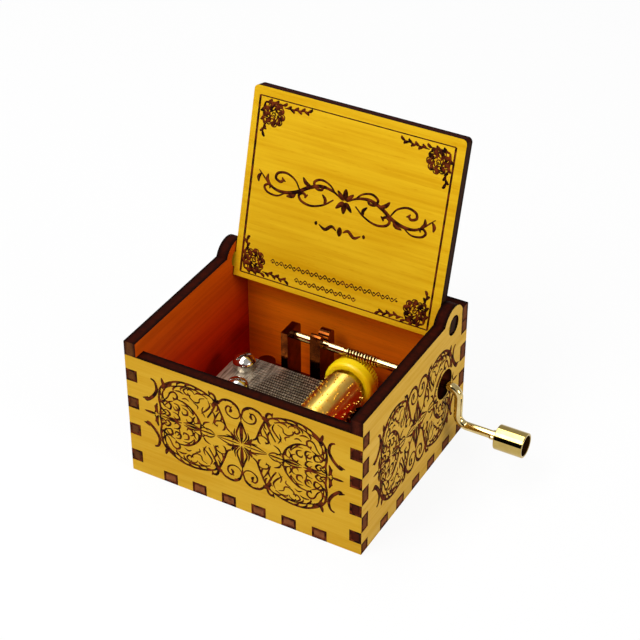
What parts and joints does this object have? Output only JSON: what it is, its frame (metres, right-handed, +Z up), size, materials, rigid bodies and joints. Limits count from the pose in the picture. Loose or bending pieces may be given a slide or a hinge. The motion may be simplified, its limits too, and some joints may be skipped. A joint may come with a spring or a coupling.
{
  "type": "hand-cranked music box",
  "caption": "Small finger-jointed wooden music box with a turning lid and a pinned-cylinder movement driven through a worm by a bent-wire crank at its right side.",
  "frame": {"origin": "centre of the underside, midway between the outer faces of the walls", "axes": "+X to the crank's side, +Y from the front wall to the hinged back, +Z up"},
  "size_m": [0.0863, 0.0594, 0.082],
  "materials": {
    "board_front": "laser-cut basswood board, clear oiled faces, scorched edges",
    "board_back": "laser-cut basswood board, clear oiled faces, scorched edges",
    "board_left": "laser-cut basswood board, clear oiled faces, scorched edges",
    "board_right": "laser-cut basswood board, clear oiled faces, scorched edges",
    "board_base": "laser-cut basswood board, clear oiled faces, scorched edges",
    "board_lid": "laser-cut basswood board, clear oiled faces, scorched edges",
    "plated_zinc": "gold-plated die-cast zinc, polished",
    "comb_steel": "ground spring steel",
    "comb_screw_steel": "nickel-plated",
    "small_screw_steel": "nickel-plated",
    "mount_screw_zinc": "zinc-plated",
    "drum_brass": "polished brass",
    "cap_brass": "turned brass",
    "wheel_plastic": "moulded yellow acetal",
    "arbor_steel": "drawn steel",
    "crank_plate": "gold-plated steel wire",
    "knob_plate": "polished gold plating"
  },
  "bodies": {
    "case": {"front_panel": "board_front", "back_panel": "board_back", "left_panel": "board_left", "right_panel": "board_right", "base_panel": "board_base", "bedplate": "plated_zinc", "comb": "comb_steel", "comb_screw_rear": "comb_screw_steel", "comb_screw_front": "comb_screw_steel", "drum_front_bearing": "plated_zinc", "crank_bearing": "plated_zinc", "drum_bearing_screw": "small_screw_steel", "crank_bearing_screw": "small_screw_steel", "mount_screw_left_rear": "mount_screw_zinc", "mount_screw_right_rear": "mount_screw_zinc", "mount_screw_right_front": "mount_screw_zinc"},
    "lid": {"lid": "board_lid"},
    "drum": {"drum_cylinder": "drum_brass", "drum_front_cap": "cap_brass", "drum_rear_cap": "cap_brass", "worm_wheel": "wheel_plastic", "drum_arbor": "arbor_steel"},
    "crank": {"crank_shaft": "crank_plate"},
    "knob": {"crank_knob": "knob_plate"}
  },
  "joints": [
    {"name": "lid_hinge", "type": "hinge", "parent": "case", "child": "lid", "pos_m": [0, 0.0191, 0.0372], "axis": [-1, 0, 0], "range_deg": [-104.8, 33]},
    {"name": "crank_turn", "type": "hinge", "parent": "case", "child": "crank", "pos_m": [0, 0.0155, 0.0218], "axis": [1, 0, 0], "continuous": true},
    {"name": "drum_turn", "type": "hinge", "parent": "case", "child": "drum", "pos_m": [0.00735, 0, 0.01475], "axis": [0, 1, 0], "continuous": true},
    {"name": "knob_spin", "type": "hinge", "parent": "crank", "child": "knob", "pos_m": [0.04685, 0.0155, 0.01135], "axis": [1, 0, 0], "continuous": true}
  ],
  "couplings": [
    {"joint": "drum_turn", "follows": "crank_turn", "ratio": -0.021739}
  ]
}
